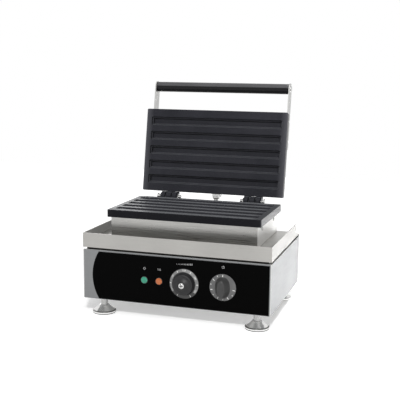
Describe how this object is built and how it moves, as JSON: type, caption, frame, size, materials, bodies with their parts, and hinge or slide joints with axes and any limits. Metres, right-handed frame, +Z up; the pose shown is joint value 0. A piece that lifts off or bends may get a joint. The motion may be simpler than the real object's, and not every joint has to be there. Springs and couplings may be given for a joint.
{
  "type": "stick waffle iron",
  "caption": "Counter-top stick waffle iron, lid open: steel body on bell feet, drip tray, hinged grooved plates, bar handle, thermostat, timer and lamps.",
  "frame": {"origin": "middle of the footprint, on the worktop under the feet", "axes": "+Z up, +Y from the front panel to the back, +X to the right as seen from the front"},
  "size_m": [0.4, 0.3674, 0.4781],
  "materials": {
    "stainless_steel": "fine brushed, satin",
    "bright_metal": "plated, bright",
    "coated_casting": "dark non-stick coating on the baking side, bare at the ends",
    "gloss_black_panel": "high gloss",
    "black_plastic": "moulded, matte",
    "dark_cap": "moulded, satin",
    "dial_grey": "moulded, satin, pale marks",
    "timer_grey": "moulded, satin, pale marks",
    "handle_black": "hard plastic, satin gloss",
    "green_lens": "translucent, glossy",
    "orange_lens": "translucent, glossy",
    "heater_steel": "heat-tinted, dull",
    "mineral_wool": "compressed wool",
    "ceramic": "unglazed"
  },
  "bodies": {
    "base": {"body_shell": "stainless_steel", "base_plate": "stainless_steel", "rear_panel": "stainless_steel", "front_overlay": "gloss_black_panel", "terminal_block": "ceramic", "cord_gland": "black_plastic", "foot_cup_front_left": "bright_metal", "foot_cup_front_right": "bright_metal", "foot_cup_back_left": "bright_metal", "foot_cup_back_right": "bright_metal", "foot_post_front_left": "bright_metal", "foot_post_front_right": "bright_metal", "foot_post_back_left": "bright_metal", "foot_post_back_right": "bright_metal", "power_lamp": "green_lens", "heating_lamp": "orange_lens", "thermostat_body": "black_plastic", "timer_body": "black_plastic", "tray_plinth": "stainless_steel", "drip_tray": "stainless_steel", "pedestal": "stainless_steel", "lower_plate": "coated_casting", "lower_heater": "heater_steel", "lower_heat_shield": "stainless_steel", "lower_insulation": "mineral_wool", "lower_shield_screw_left": "bright_metal", "lower_shield_screw_right": "bright_metal", "pedestal_screw_left_front": "bright_metal", "pedestal_screw_left_back": "bright_metal", "pedestal_screw_right_front": "bright_metal", "pedestal_screw_right_back": "bright_metal", "hinge_pin_left": "bright_metal", "hinge_pin_right": "bright_metal", "hinge_nut_left": "bright_metal", "hinge_nut_right": "bright_metal", "conduit_gland_lower": "bright_metal", "wire_conduit": "bright_metal"},
    "lid": {"upper_plate": "coated_casting", "upper_heater": "heater_steel", "upper_heat_shield": "stainless_steel", "upper_insulation": "mineral_wool", "upper_shield_screw_left": "bright_metal", "upper_shield_screw_right": "bright_metal", "upper_cover": "stainless_steel", "conduit_gland_upper": "bright_metal", "handle_arm_left": "stainless_steel", "handle_arm_right": "stainless_steel", "arm_screw_left_lower": "bright_metal", "arm_screw_left_upper": "bright_metal", "arm_screw_right_lower": "bright_metal", "arm_screw_right_upper": "bright_metal", "handle_bolt_left": "bright_metal", "handle_bolt_right": "bright_metal", "handle_grip": "handle_black"},
    "temperature_control": {"thermostat_spindle": "stainless_steel", "thermostat_dial": "dial_grey", "thermostat_cap": "dark_cap", "thermostat_knob_screw": "bright_metal"},
    "timer_control": {"timer_spindle": "stainless_steel", "timer_knob": "timer_grey"}
  },
  "joints": [
    {"name": "lid_hinge", "type": "hinge", "parent": "base", "child": "lid", "pos_m": [0, 0.08612, 0.218], "axis": [1, 0, 0], "range_deg": [0, 100.2]},
    {"name": "thermostat_turn", "type": "hinge", "parent": "base", "child": "temperature_control", "pos_m": [0.0223, -0.16298, 0.087], "axis": [0, 1, 0], "range_deg": [0, 300]},
    {"name": "timer_turn", "type": "hinge", "parent": "base", "child": "timer_control", "pos_m": [0.1028, -0.16298, 0.087], "axis": [0, 1, 0], "range_deg": [0, 300]}
  ]
}
